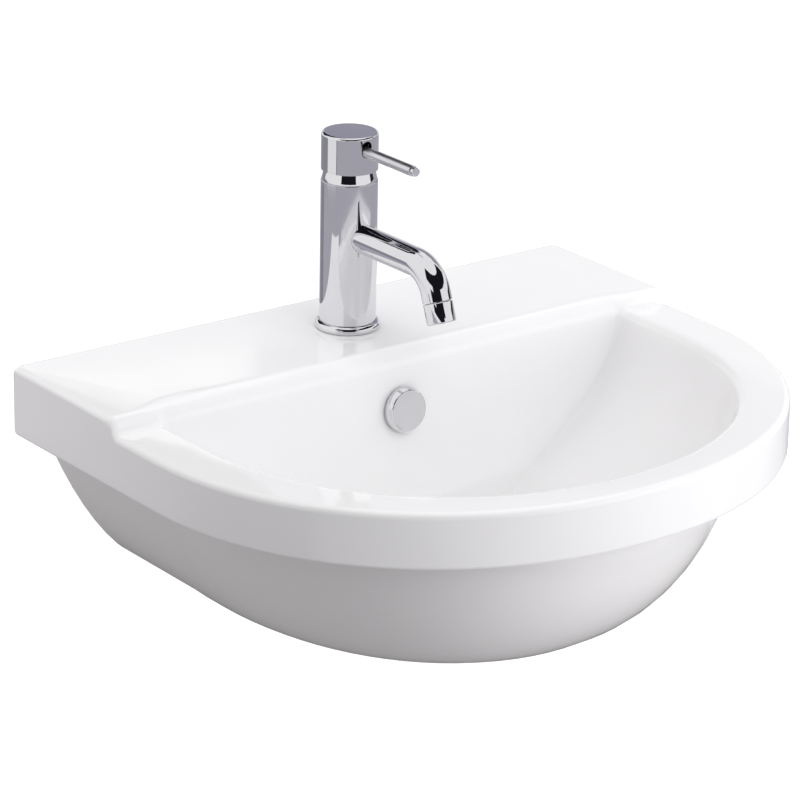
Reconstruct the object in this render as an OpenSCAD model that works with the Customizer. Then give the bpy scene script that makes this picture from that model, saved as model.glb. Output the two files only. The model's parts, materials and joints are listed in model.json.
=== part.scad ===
// Wall-hung basin with a single-lever pin mixer tap, overflow cap and push-plug waste.
// X runs along the wall, Y into the wall, Z up. The wall face is y = 0 and the origin is
// midway between the two wall-fixing holes.

/* [Basin] */
// Width of the basin
basin_w = 500; // [460:5:560]
// How far the basin stands out from the wall
basin_d = 418; // [400:2:440]
// How far the sides run straight out from the wall
straight_d = 186; // [170:2:200]
// Squareness of the front curve (2 is an ellipse)
front_square = 2.09; // [2:0.01:2.4]
// Height of the apron band below the shelf top
apron_h = 52; // [46:1:60]
// Drop from the shelf top to the underside
under_h = 176; // [170:1:190]
// Rounding of the top edges
edge_r = 5; // [3:0.5:7]
// Radius of the upright corners at the wall
wall_corner_r = 6; // [3:1:12]
// Wall fixing holes below the shelf top
fix_drop = 95; // [85:1:105]

/* [Tap shelf] */
// Depth of the flat shelf from the wall to its rolled front edge
shelf_d = 118; // [114:1:122]
// Drop from the shelf to the rim
step_h = 11; // [8:0.5:13]
// Depth over which the shelf rolls down to the rim
step_run = 17; // [14:1:20]
// Thickness of the shelf where the tap is clamped
shelf_t = 20; // [16:1:24]

/* [Bowl] */
// Width of the rim beside the bowl
rim_w = 30; // [24:1:36]
// Bowl depth from the shelf top to the floor at the waste
bowl_h = 140; // [130:1:144]
// How far the bowl's back wall stands from the wall face
bowl_back = 131; // [128:1:134]
// How far the back wall leans forward from top to floor
bowl_lean = 14; // [8:1:20]
// Radius of the upright corners where back wall and sides meet
bowl_corner_r = 7; // [4:1:10]
// Waste hole's distance from the wall face
waste_y = 238; // [230:1:246]
// Ledge between the apron and the bowl below it, at the sides
ledge_w = 25; // [20:1:30]
// Ledge below the front of the apron
ledge_front = 29; // [24:1:32]

/* [Rear cavity] */
// Distance from the wall face to the front of the cavity
cavity_d = 113; // [106:1:114]
// Thickness of the plates that rest on the wall
back_plate_t = 18; // [14:1:22]
// Thickness of the side cheeks
cheek_t = 13; // [11:1:16]
// Drop from the shelf top to the lower edge of the cheeks
cheek_h = 160; // [150:1:164]
// Width of the open middle between the two back plates
mouth_w = 190; // [160:5:210]
// Distance between the two wall-fixing holes
fix_span = 280; // [260:5:300]
// Diameter of the fixing holes in the china
fix_hole_d = 22; // [20:1:24]
// Bore of the sleeves, for M10 studs
sleeve_bore_d = 10.6; // [10.4:0.1:12]

/* [Overflow] */
// Overflow hole's drop below the shelf top
overflow_drop = 44; // [42:1:52]
// Diameter of the overflow channel
channel_d = 16; // [12:1:17]
// Diameter of the overflow hole in the bowl wall
overflow_hole_d = 23; // [21:0.5:24]
// Diameter of the overflow cap
cap_d = 34; // [30:1:36]
// How far the overflow cap stands proud of the wall
cap_proud = 9; // [7:0.5:11]

/* [Waste] */
// Diameter of the waste hole in the china
waste_hole_d = 46; // [45:0.5:48]
// Diameter of the waste flange
flange_d = 64; // [60:1:68]
// Thickness of the waste flange
flange_t = 3; // [2.5:0.1:4]
// Outside diameter of the waste tube's thread
tail_d = 41.9; // [41:0.1:42.5]
// Wall of the waste tube
tail_t = 2.3; // [2:0.1:3]
// Drop from the shelf top to the end of the waste tube
tail_drop = 196; // [194:1:210]
// How much slimmer the tail's end is, where the trap's nut starts
tail_relief = 0.25; // [0.22:0.01:0.4]
// Length of the tail's slimmer end
tail_end_h = 7.5; // [6:0.5:7.5]
// Travel of the push plug
plug_travel = 8; // [6:0.5:9]
// Diameter of the plug's dome
plug_d = 62; // [56:1:64]

/* [Tap] */
// Tap axis's distance from the wall face
tap_y = 66; // [62:1:68]
// Diameter of the tap column and the handle cap
column_d = 42; // [41.6:0.1:44]
// Height of the column above the shelf
column_h = 113.5; // [112:0.5:118]
// Height of the recessed neck between column and cap
neck_h = 8; // [7:0.5:10]
// Height of the handle cap
cap_h = 28; // [27:0.5:30]
// Wall of the handle cap
cap_wall = 2.5; // [2:0.1:3]
// Diameter of the ring at the column's foot
foot_d = 48; // [46:0.5:52]
// Height of the ring at the column's foot
foot_h = 6; // [5:0.5:8]
// Diameter of the tap hole in the shelf
tap_hole_d = 35; // [33:1:36]

/* [Spout] */
// Height of the spout's axis above the shelf
spout_z = 72; // [66:1:76]
// Outside diameter of the spout tube
spout_d = 21.6; // [20:0.2:22]
// Wall of the spout tube
spout_t = 1.5; // [1.2:0.1:2]
// Straight reach of the spout from the tap axis to the bend
spout_reach = 81; // [70:1:95]
// Bend radius of the spout's axis
bend_r = 26; // [22:1:32]
// Bend angle of the spout
bend_a = 69; // [60:1:80]
// Straight tube between the bend and the aerator
spout_drop = 6; // [4:0.5:12]
// Length of the aerator's housing
aerator_h = 16; // [14:0.5:18]

/* [Lever] */
// Diameter of the pin
pin_d = 8; // [7:0.2:8]
// Reach of the pin from the tap axis
pin_reach = 80; // [70:1:95]
// Drop from the top of the cap to the pin's axis
pin_drop = 11; // [10.6:0.1:11.4]
// Lift of the pin
lift_a = 9; // [6:1:9]
// Room round the pin in its slot
slot_gap = 0.4; // [0.3:0.05:0.6]

/* [Fits] */
// Radial clearance of turning and sliding pieces
run_gap = 0.05; // [0.02:0.01:0.1]
// Gap between pieces that must not touch
free_gap = 0.3; // [0.2:0.05:0.4]
// Radial clearance of pieces assembled by hand
hand_gap = 0.2; // [0.1:0.05:0.3]

/* [Hidden] */
$fn = 96;
eps = 0.01;

china = "#f4f4f6";
chrome = "#c9ccd2";
brass = "#c7a55a";
rubber = "#2b2b2d";
plastic = "#dcdcd8";
steel = "#a9adb2";
alumina = "#efe9dc";

// The shelf top, from which the sizes of basin and tap are counted
module at_shelf() {
    translate([0, 0, fix_drop]) children();
}

module at_tap() {
    at_shelf() translate([0, -tap_y, 0]) children();
}

module at_waste() {
    at_shelf() translate([0, -waste_y, 0]) children();
}

// A tube or a disc with a hole, standing on z0
module ring(r_out, r_in, z0, h) {
    translate([0, 0, z0]) rotate_extrude() translate([r_in, 0]) square([r_out - r_in, h]);
}

// Outline of the china: every loop of the skin has these four groups of points
n_back = 9;
n_upper = 2;
n_corner = 3;
n_step = 8;
n_low = 3;
n_front = 40;
step_start = shelf_d - 5;
step_end = shelf_d + step_run + 3;

function smooth(t) = let (c = max(0, min(1, t))) c * c * (3 - 2 * c);
function top_z(y) = -step_h * smooth(pow(max(0, (-y - shelf_d) / step_run), 1.25));
function front_curve(w, ys, yf, a) = [
    w * sign(cos(a)) * pow(abs(cos(a)), 2 / front_square),
    -ys - (yf - ys) * pow(abs(sin(a)), 2 / front_square)
];
function mirrored(half) = [for (i = [len(half) - 1 : -1 : 0]) [-half[i][0], half[i][1]]];

// Outer outline, clockwise seen from above, from the front right up to the wall and round
function outer_half(w, yb, ys, rc) = concat(
    [for (i = [0 : n_low - 1]) [w, -ys + (ys - step_end) * i / n_low]],
    [for (i = [0 : n_step - 1]) [w, -step_end + (step_end - step_start) * i / n_step]],
    [for (i = [0 : n_upper - 1]) [w, -step_start + (step_start + yb - rc) * i / n_upper]],
    [for (i = [0 : n_corner]) let (a = 90 * i / n_corner) [w - rc + rc * cos(a), yb - rc + rc * sin(a)]],
    [for (i = [1 : (n_back - 1) / 2]) [(w - rc) * (1 - i / ((n_back - 1) / 2)), yb]]
);
function outer_loop(w, yb, ys, yf, rc) = let (half = outer_half(w, yb, ys, rc)) concat(
    half,
    [for (i = [len(half) - 2 : -1 : 0]) [-half[i][0], half[i][1]]],
    [for (i = [1 : n_front - 1]) front_curve(w, ys, yf, 180 - 180 * i / n_front)]
);

// Bowl outline with the same count of points: the stretch beside the shelf gathers on its back wall
n_gather = n_upper + n_corner + 1 + (n_back - 1) / 2;
function inner_half(w, yb, ys, rc) = concat(
    [for (i = [0 : n_low - 1]) [w, -ys + (ys - step_end) * i / n_low]],
    [for (i = [0 : n_step - 1]) let (a = 90 * i / n_step, y1 = yb - rc)
        [w - rc + rc * cos(a), y1 + rc * sin(a) + (-step_end - y1) * (1 - i / n_step)]],
    [for (i = [0 : n_gather - 1]) [(w - rc) * (1 - i / (n_gather - 1)), yb]]
);
function inner_loop(w, yb, ys, yf, rc) = let (half = inner_half(w, yb, ys, rc)) concat(
    half,
    [for (i = [len(half) - 2 : -1 : 0]) [-half[i][0], half[i][1]]],
    [for (i = [1 : n_front - 1]) front_curve(w, ys, yf, 180 - 180 * i / n_front)]
);

half_w = basin_w / 2;
loop_n = len(outer_loop(half_w, 0, straight_d, basin_d, wall_corner_r));

// Underside of the bowl: width and reach shrink from the ledge below the apron to the flat bottom
under_w = half_w - ledge_w;
under_d = basin_d - ledge_front;
under_straight = 153;
bottom_w = 130;
bottom_d = 288;
function under_u(z) = max(0, (-z - apron_h - ledge_slope) / (under_h - apron_h - ledge_slope));
function under_kx(u) = (bottom_w + (under_w - bottom_w) * pow(max(0, 1 - pow(u, 1.1)), 1 / 1.7)) / under_w;
function under_ky(u) = (bottom_d + (under_d - bottom_d) * pow(max(0, 1 - pow(u, 2.17)), 1 / 1.7)) / under_d;
function under_loop(z) = let (u = under_u(z), kx = under_kx(u), ky = under_ky(u))
    [for (p = outer_loop(under_w, 0, under_straight, under_d, wall_corner_r)) [p[0] * kx, p[1] * ky, z]];

// Inside of the bowl: the outline at the rim fades into the circle round the waste
inner_w = half_w - rim_w;
inner_f = basin_d - rim_w;
waste_pad_r = flange_d / 2 + 4;
function bowl_kx(t) = pow(max(0, 1 - pow(t, 2)), 1 / 2);
function bowl_kf(t) = pow(max(0, 1 - pow(t, 1.6)), 1 / 1.7);
function bowl_kb(t) = pow(max(0, 1 - pow(t, 5)), 1 / 2.2);
function bowl_edge(d) = inner_loop(inner_w + d, d - bowl_back, straight_d, inner_f + d, bowl_corner_r + d);
inner_rim = bowl_edge(0);
function pad_point(p) = let (d = [p[0], p[1] + waste_y], a = atan2(d[1], d[0]))
    [waste_pad_r * cos(a), waste_pad_r * sin(a) - waste_y];
function bowl_point(p, t) = let (
    c = pad_point(p),
    f = smooth((p[1] + waste_y + 40) / 80),
    ky = bowl_kb(t) * f + bowl_kf(t) * (1 - f),
    lean = bowl_lean * t * f * ky
) [c[0] + (p[0] - c[0]) * bowl_kx(t), c[1] + (p[1] - c[1]) * ky - lean];
function bowl_z(p, t) = let (z0 = top_z(p[1]) - edge_r) z0 + (-bowl_h - z0) * t;
function bowl_loop(t) = [for (p = inner_rim) let (q = bowl_point(p, t)) [q[0], q[1], bowl_z(p, t)]];

// The top between outer edge and bowl edge, following the step from shelf to rim
outer_rim = outer_loop(half_w - edge_r, -edge_r, straight_d, basin_d - edge_r, wall_corner_r - 1);
edge_rim = bowl_edge(edge_r);
deck_rings = 9;
function deck_s(yo, yi, k) = let (
    u = k / (deck_rings + 1),
    level = -shelf_d - (step_end - shelf_d) * (k - 1) / (deck_rings - 1),
    c = abs(yi - yo) < 1 ? u : max(0, min(1, (level - yo) / (yi - yo)))
) 0.1 * u + 0.9 * c;
function deck_loop(k) = [for (i = [0 : loop_n - 1])
    let (a = outer_rim[i], b = edge_rim[i], p = a + (b - a) * deck_s(a[1], b[1], k)) [p[0], p[1], top_z(p[1])]];
function round_loop(a) = [for (p = bowl_edge(edge_r * (1 - sin(a))))
    [p[0], p[1], top_z(p[1]) - edge_r * (1 - cos(a))]];

function flat_loop(loop, z) = [for (p = loop) [p[0], p[1], z]];
function edge_loop(a) = let (d = edge_r * (1 - cos(a)))
    [for (p = outer_loop(half_w - d, -d, straight_d, basin_d - d, wall_corner_r - d / edge_r))
        [p[0], p[1], top_z(p[1]) - edge_r * (1 - sin(a))]];

under_steps = [for (i = [0 : 10]) sin(90 - 90 * i / 11)];
bowl_steps = [for (i = [1 : 13]) pow(sin(90 * i / 13), 1.15)];
foot_edge = 3;
ledge_slope = 1;
skin = concat(
    [for (u = under_steps) under_loop(-apron_h - ledge_slope - u * (under_h - apron_h - ledge_slope))],
    [under_loop(-apron_h - ledge_slope)],
    [flat_loop(outer_loop(half_w - foot_edge, 0, straight_d, basin_d - foot_edge, wall_corner_r), -apron_h)],
    [flat_loop(outer_loop(half_w - 0.9, 0, straight_d, basin_d - 0.9, wall_corner_r), -apron_h + 0.9)],
    [flat_loop(outer_loop(half_w, 0, straight_d, basin_d, wall_corner_r), -apron_h + foot_edge)],
    [for (a = [0, 30, 60, 90]) edge_loop(a)],
    [for (k = [1 : deck_rings]) deck_loop(k)],
    [for (a = [0, 30, 60, 90]) round_loop(a)],
    [for (t = bowl_steps) bowl_loop(t)]
);

module china_skin() {
    n = loop_n;
    m = len(skin);
    tip = n - n_front / 2;
    polyhedron(
        points = [for (loop = skin) each loop],
        faces = concat(
            [[for (i = [0 : n - 1]) (tip + i) % n]],
            [for (k = [0 : m - 2]) for (i = [0 : n - 1]) let (j = (i + 1) % n)
                each [[k * n + i, (k + 1) * n + i, (k + 1) * n + j], [k * n + i, (k + 1) * n + j, k * n + j]]],
            [[for (i = [n - 1 : -1 : 0]) (m - 1) * n + (tip + i) % n]]
        )
    );
}

// Half-width of the cavity between the cheeks at a height below the shelf
function cheek_x(z) = under_w * under_kx(under_u(min(z, -apron_h))) - cheek_t;
cavity_levels = [-shelf_t, -apron_h, -80, -105, -130, -150, -165, -under_h - 10];
channel_y = cavity_d + 1;
channel_z = -(under_h - bowl_h) / 2 - bowl_h;
rib_t = 16;
rib_w = channel_d + 16;

module rear_cavity() {
    side = [for (z = cavity_levels) [cheek_x(max(z, -under_h + 2)), z]];
    difference() {
        translate([0, -back_plate_t, 0]) rotate([90, 0, 0])
            linear_extrude(cavity_d - back_plate_t) polygon(concat(side, mirrored(side)));
        translate([-rib_w / 2, -cavity_d - 1, -under_h - 20])
            cube([rib_w, rib_t + 1, under_h + 20]);
    }
    mouth_r = 20;
    translate([0, eps, 0]) rotate([90, 0, 0]) linear_extrude(back_plate_t + 1) {
        for (s = [-1, 1])
            translate([s * (mouth_w / 2 - mouth_r), -shelf_t - 14 - mouth_r]) circle(mouth_r);
        translate([-mouth_w / 2 + mouth_r, -shelf_t - 14 - mouth_r]) square([mouth_w - 2 * mouth_r, mouth_r]);
        translate([-mouth_w / 2, -under_h - 10]) square([mouth_w, under_h + 10 - shelf_t - 14 - mouth_r]);
    }
    // Lower edge of the cheeks, cut level and rising to the bottom of the bowl
    for (s = [-1, 1])
        translate([s * (basin_w / 4 + rib_w / 2), 0, 0]) rotate([90, 0, 90])
            linear_extrude(basin_w / 2, center = true)
                polygon([[1, -cheek_h], [-cavity_d + 12, -cheek_h],
                         [-cavity_d - 12, -under_h - 1], [1, -under_h - 1]]);
}

wall_top = edge_r - top_z(-bowl_back);
lean_a = atan(bowl_lean / (bowl_h - wall_top));
overflow_y = bowl_back + bowl_lean * (overflow_drop - wall_top) / (bowl_h - wall_top);

// Frame on the bowl's back wall: +Z points out of the wall into the bowl
module at_overflow() {
    at_shelf() translate([0, -overflow_y, -overflow_drop]) rotate([90 - lean_a, 0, 0]) children();
}

sleeve_depth = 12;

module overflow_channel() {
    r = channel_d / 2;
    at_overflow() translate([0, 0, -sleeve_depth]) cylinder(h = sleeve_depth + 12, r = overflow_hole_d / 2);
    at_shelf() {
        translate([0, -channel_y, -overflow_drop]) rotate([90, 0, 0]) cylinder(h = overflow_y - channel_y, r = r);
        translate([0, -channel_y, -overflow_drop]) sphere(r);
        translate([0, -channel_y, channel_z]) cylinder(h = -channel_z - overflow_drop, r = r);
        translate([0, -channel_y, channel_z]) sphere(r);
        translate([0, -channel_y, channel_z]) rotate([90, 0, 0]) cylinder(h = waste_y - channel_y, r = r);
    }
}

recess_h = 3;
flange_seat = -bowl_h - recess_h;

module basin() {
    color(china) difference() {
        at_shelf() china_skin();
        at_shelf() rear_cavity();
        overflow_channel();
        at_tap() translate([0, 0, -shelf_t - 1]) cylinder(h = shelf_t + 2, d = tap_hole_d);
        at_waste() translate([0, 0, flange_seat]) cylinder(h = recess_h + 10, d = flange_d + 3);
        at_waste() translate([0, 0, -under_h - 1]) cylinder(h = under_h - bowl_h + 2, d = waste_hole_d);
        for (s = [-1, 1])
            translate([s * fix_span / 2, 1, 0]) rotate([90, 0, 0])
                cylinder(h = back_plate_t + 2, d = fix_hole_d);
    }
}

// Two plastic bushes that line the wall-fixing holes
sleeve_collar_t = 4;

module fixing_sleeves() {
    color(plastic) for (s = [-1, 1]) translate([s * fix_span / 2, 0, 0]) rotate([90, 0, 0]) {
        ring(fix_hole_d / 2 - hand_gap, sleeve_bore_d / 2, 0, back_plate_t);
        ring(fix_hole_d / 2 + 4, sleeve_bore_d / 2, back_plate_t, sleeve_collar_t);
    }
}

// Overflow cap: a hollow disc held off the wall, so that water runs in behind its rim
cap_gap = 2;
cap_edge_r = 2.8;
stem_r = 4;
hub_wall = 2;

module overflow_cap() {
    r = cap_d / 2;
    color(chrome) at_overflow() {
        rotate_extrude() {
            difference() {
                union() {
                    translate([0, cap_gap]) square([r - cap_edge_r, cap_proud - cap_gap]);
                    translate([0, cap_gap]) square([r, cap_proud - cap_gap - cap_edge_r]);
                    translate([r - cap_edge_r, cap_proud - cap_edge_r]) circle(cap_edge_r);
                }
                translate([0, cap_gap - 1]) square([r - 1.5, cap_proud - cap_gap - 1.6 + 1]);
                translate([-cap_d, 0]) square([cap_d, cap_proud + 1]);
            }
            translate([0, -sleeve_depth + 4]) square([stem_r, sleeve_depth + cap_proud - 4.8]);
        }
    }
}

// Push-in sleeve that grips the overflow hole and carries the cap's stem on three ribs
module overflow_sleeve() {
    r = overflow_hole_d / 2 - run_gap;
    color(plastic) at_overflow() {
        ring(r, r - 1.6, -sleeve_depth + 1, sleeve_depth - 1);
        difference() {
            union() {
                ring(stem_r + run_gap + hub_wall, stem_r + run_gap, -sleeve_depth + 4, 6);
                for (a = [90, 210, 330]) rotate([0, 0, a])
                    translate([stem_r + 1, -1, -sleeve_depth + 4]) cube([r - stem_r - 2, 2, 6]);
            }
            translate([0, 0, -sleeve_depth]) cylinder(h = sleeve_depth + 4, r = stem_r + run_gap);
        }
    }
}

// Thin ring between the sleeve's mouth and the china, in the cap's shade
module overflow_seal() {
    color(rubber) at_overflow() ring(overflow_hole_d / 2 + 1.6, overflow_hole_d / 2 - 1.6, 0.6, 1.2);
}

// Waste: flange, slotted tube and a three-armed bridge for the push mechanism
tail_r = tail_d / 2;
bore_r = tail_r - tail_t;
seal_t = 1.5;
flange_under = flange_seat + seal_t;
flange_top = flange_under + flange_t;
bridge_top = -bowl_h - 28;
bridge_t = 6;
boss_r = 7;
click_r = 5;
slot_h = channel_d - 2;

module waste_body() {
    color(chrome) at_waste() {
        difference() {
            rotate_extrude() {
                translate([bore_r, flange_under]) square([flange_d / 2 - bore_r - 1.2, flange_t]);
                translate([flange_d / 2 - 1.5, flange_under]) square([1.5, flange_t - 1.5]);
                translate([flange_d / 2 - 1.5, flange_top - 1.5]) circle(1.5);
                polygon([[bore_r, -tail_drop], [tail_r - tail_relief, -tail_drop],
                         [tail_r - tail_relief, tail_end_h - tail_drop],
                         [tail_r, tail_end_h - tail_drop + 1],
                         [tail_r, flange_under + 1], [bore_r, flange_under + 1]]);
            }
            for (a = [45 : 90 : 315]) rotate([0, 0, a])
                translate([bore_r - 2, -6, channel_z - slot_h / 2]) cube([tail_t + 4, 12, slot_h]);
        }
        ring(boss_r, click_r, bridge_top - bridge_t, bridge_t);
        for (a = [0, 120, 240]) rotate([0, 0, a + 90])
            translate([boss_r - 0.5, -1.5, bridge_top - bridge_t])
                cube([bore_r - boss_r + 0.9, 3, bridge_t]);
    }
}

module waste_upper_seal() {
    color(rubber) at_waste() ring(flange_d / 2 - 1, tail_r + 0.4, flange_seat, seal_t);
}

lower_seal_t = 4;
nut_t = 8;

module waste_lower_seal() {
    color(rubber) at_waste() translate([0, 0, -under_h - lower_seal_t]) rotate_extrude()
        polygon([[tail_r + hand_gap, 0], [tail_r + 8, 0], [tail_r + 6, lower_seal_t],
                 [tail_r + hand_gap, lower_seal_t]]);
}

module waste_nut() {
    color(chrome) at_waste() difference() {
        union() {
            ring(tail_r + 6, tail_r + run_gap, -under_h - lower_seal_t - nut_t, nut_t);
            for (a = [0 : 60 : 300]) rotate([0, 0, a])
                translate([tail_r + 2, -4, -under_h - lower_seal_t - nut_t]) cube([6, 8, nut_t - 2]);
        }
        translate([0, 0, -tail_drop]) cylinder(h = tail_drop, r = tail_r + run_gap);
    }
}

// Push mechanism: the housing screws into the bridge, stem and dome rise on the spring
plug_open_z = flange_top + free_gap + plug_travel;
stem_rod_r = 3;
housing_top = bridge_top + 10;
housing_bottom = bridge_top - bridge_t - 10;
stem_bottom = housing_bottom + 2 + plug_travel;
boss_under = plug_open_z - 5;

module click_housing() {
    color(brass) at_waste() difference() {
        union() {
            translate([0, 0, housing_bottom]) cylinder(h = bridge_top - housing_bottom, r = click_r - run_gap);
            translate([0, 0, bridge_top]) cylinder(h = housing_top - bridge_top, r = boss_r, $fn = 6);
        }
        translate([0, 0, housing_bottom + 1.5])
            cylinder(h = housing_top - housing_bottom, r = stem_rod_r + run_gap);
    }
}

module click_stem() {
    color(steel) at_waste() translate([0, 0, stem_bottom])
        cylinder(h = boss_under - stem_bottom, r = stem_rod_r);
}

// Coil spring as a square-section helix, swept by its own points
spring_r = 4.9;
wire_d = 1.2;
spring_turns = 6;
spring_z0 = housing_top + free_gap;
spring_z1 = boss_under - free_gap;
spring_steps = 20;

function spring_point(i, k) = let (
    n = spring_turns * spring_steps,
    a = 360 * i / spring_steps,
    z = spring_z0 + wire_d / 2 + (spring_z1 - spring_z0 - wire_d) * i / n,
    b = 60 * k,
    r = spring_r + wire_d / 2 * cos(b)
) [r * cos(a), r * sin(a), z + wire_d / 2 * sin(b)];

module click_spring() {
    n = spring_turns * spring_steps;
    color(steel) at_waste() polyhedron(
        points = [for (i = [0 : n]) for (k = [0 : 5]) spring_point(i, k)],
        faces = concat(
            [[for (k = [0 : 5]) k]],
            [for (i = [0 : n - 1]) for (k = [0 : 5]) let (j = (k + 1) % 6)
                each [[i * 6 + k, (i + 1) * 6 + k, (i + 1) * 6 + j], [i * 6 + k, (i + 1) * 6 + j, i * 6 + j]]],
            [[for (k = [5 : -1 : 0]) n * 6 + k]]
        )
    );
}

dome_t = 4;
dome_rise = 3;
seal_r = bore_r - 0.4;
plug_boss_r = 8;

module plug_dome() {
    r = plug_d / 2;
    dome_r = (r * r + dome_rise * dome_rise) / (2 * dome_rise);
    color(chrome) at_waste() {
        rotate_extrude() {
            difference() {
                intersection() {
                    translate([0, plug_open_z + dome_t + dome_rise - dome_r]) circle(dome_r, $fn = 360);
                    translate([0, plug_open_z]) square([r, dome_t + dome_rise]);
                }
                translate([0, plug_open_z - 1]) square([r - 2, 2.5]);
            }
            translate([0, boss_under]) square([plug_boss_r, plug_open_z + 2 - boss_under]);
        }
    }
}

module plug_seal() {
    color(rubber) at_waste() ring(seal_r, plug_boss_r + run_gap, boss_under, 4);
}

// Tap column with its cartridge pocket, spout socket, water ways and hose inlets
column_r = column_d / 2;
gasket_t = 0.6;
ledge_t = 2.2;
pocket_floor = 88;
pocket_r = 14.1;
nut_r = 18;
nut_floor = 106;
inlet_r = 4.5;
inlet_x = 8.5;
inlet_y = -5;
inlet_h = 12;
stud_r = 4;
stud_y = 10;
stud_top = 18;
port_x = 6;
port_y = 4;
port_r = 2.6;
out_y = -6.5;
out_r = 3.2;
spout_r = spout_d / 2;
socket_depth = 9;

module tap_body() {
    color(chrome) at_tap() difference() {
        rotate_extrude() {
            translate([0, ledge_t]) square([column_r, column_h - ledge_t - 0.5]);
            translate([0, column_h - 1]) square([column_r - 0.5, 1]);
        }
        translate([0, 0, pocket_floor]) cylinder(h = column_h, r = pocket_r);
        translate([0, 0, nut_floor]) cylinder(h = column_h, r = nut_r + run_gap);
        translate([0, -socket_depth, spout_z]) rotate([90, 0, 0]) cylinder(h = column_r, r = spout_r + run_gap);
        for (s = [-1, 1]) {
            translate([s * inlet_x, inlet_y, 0]) cylinder(h = ledge_t + inlet_h, r = inlet_r);
            translate([s * inlet_x, inlet_y, 0]) cylinder(h = 24, r = port_r);
            translate([s * port_x, port_y, 20]) cylinder(h = pocket_floor - 19, r = port_r);
            translate([s * (inlet_x + port_x) / 2, (inlet_y + port_y) / 2, 20])
                cube([4, 10, 4], center = true);
        }
        translate([0, out_y, spout_z]) cylinder(h = pocket_floor - spout_z + 1, r = out_r);
        translate([0, out_y + out_r, spout_z]) rotate([90, 0, 0]) cylinder(h = out_r + 6, r = spout_r - spout_t);
        translate([0, stud_y, 0]) cylinder(h = stud_top, r = stud_r + run_gap);
    }
}

// Rounded ring under the column, with the ledge that the column stands on
ring_hole_r = 17.9;

module base_ring() {
    r = foot_d / 2;
    bead = (foot_h - gasket_t) / 2;
    color(chrome) at_tap() rotate_extrude() {
        translate([ring_hole_r, gasket_t]) square([column_r - ring_hole_r, ledge_t - gasket_t]);
        difference() {
            union() {
                translate([column_r + run_gap, gasket_t]) square([r - bead - column_r - run_gap, 2 * bead]);
                translate([r - bead, gasket_t + bead]) circle(bead);
                translate([column_r - 1, gasket_t]) square([2, ledge_t - gasket_t]);
            }
            translate([0, ledge_t]) square([column_r + run_gap, foot_h]);
        }
    }
}

module base_gasket() {
    color(rubber) at_tap() ring(foot_d / 2 - 1.2, ring_hole_r, 0, gasket_t);
}

// The end tube is a hair thicker than the bend that it is brazed to
spout_lip = 0.06;

// One hollow length of tube on Z, and the spout as three of them end to end
module tube(r_out, r_in, h) {
    linear_extrude(h) difference() {
        circle(r_out);
        circle(r_in);
    }
}

module at_outlet() {
    at_tap() translate([0, -spout_reach, spout_z - bend_r]) rotate([bend_a - 90, 0, 0])
        translate([0, -bend_r, -spout_drop]) children();
}

module spout() {
    bore = spout_r - spout_t;
    color(chrome) {
        at_tap() translate([0, -socket_depth, spout_z]) rotate([90, 0, 0])
            tube(spout_r, bore, spout_reach - socket_depth);
        at_tap() translate([0, -spout_reach, spout_z - bend_r]) rotate([180, -90, 0])
            rotate_extrude(angle = bend_a) translate([bend_r, 0]) difference() {
                circle(spout_r);
                circle(bore);
            }
        at_outlet() tube(spout_r + spout_lip, bore - spout_lip, spout_drop + 0.3);
    }
}

neck_len = 5;
insert_h = 11;

module aerator_housing() {
    r = spout_r - spout_t;
    color(chrome) at_outlet() rotate_extrude() {
        translate([r - 1.4, -aerator_h + 0.6]) square([1.4 + spout_t, aerator_h - 1]);
        translate([r - 1.4, -1]) square([1.4 + spout_t - 0.6, 1]);
        translate([r - 1.4, -aerator_h]) square([1, 1]);
        translate([r - 1.4, -aerator_h]) square([1.4 + spout_t - 0.6, 1]);
        translate([r - 1.4, -0.4]) square([1.4 - spout_lip - run_gap, neck_len]);
    }
}

module aerator_insert() {
    r = spout_r - spout_t - 1.4 - run_gap;
    color(plastic) at_outlet() {
        ring(r, r - 1, -aerator_h + 1.5, insert_h);
        translate([0, 0, -aerator_h + 1.5]) cylinder(h = 1, r = r - 0.5);
        for (a = [0, 60, 120]) rotate([0, 0, a])
            translate([-r + 0.5, -0.4, -aerator_h + 1.5]) cube([2 * r - 1, 0.8, insert_h - 2]);
    }
}

module aerator_seal() {
    r = spout_r - spout_t - 1.4 - run_gap;
    color(rubber) at_outlet() ring(r, r - 2, -aerator_h + 1.5 + insert_h, 1.5);
}

// Clamp under the shelf: stud, rubber and metal horseshoe, long nut
shoe_r = 22;
rubber_t = 2.5;
metal_t = 2;
stud_nut_t = 12;
stud_tail = 12;

module horseshoe(r, z0, t) {
    difference() {
        translate([0, 0, z0]) cylinder(h = t, r = r);
        translate([0, 0, z0 - 1]) cylinder(h = t + 2, r = 15.5);
        translate([-10, -r - 1, z0 - 1]) cube([20, r, t + 2]);
    }
    difference() {
        translate([-8, 3, z0]) cube([16, 14, t]);
        translate([0, stud_y, z0 - 1]) cylinder(h = t + 2, r = stud_r + hand_gap);
    }
}

module mounting_stud() {
    h = stud_top + shelf_t + rubber_t + metal_t + stud_nut_t + stud_tail;
    color(steel) at_tap() translate([0, stud_y, stud_top - h]) cylinder(h = h, r = stud_r);
}

module rubber_horseshoe() {
    color(rubber) at_tap() horseshoe(shoe_r, -shelf_t - rubber_t, rubber_t);
}

module metal_horseshoe() {
    color(steel) at_tap() horseshoe(shoe_r - 1, -shelf_t - rubber_t - metal_t, metal_t);
}

module stud_nut() {
    color(brass) at_tap() translate([0, stud_y, -shelf_t - rubber_t - metal_t - stud_nut_t]) difference() {
        cylinder(h = stud_nut_t, r = 7.5, $fn = 6);
        translate([0, 0, -1]) cylinder(h = stud_nut_t + 2, r = stud_r + run_gap);
    }
}

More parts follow.
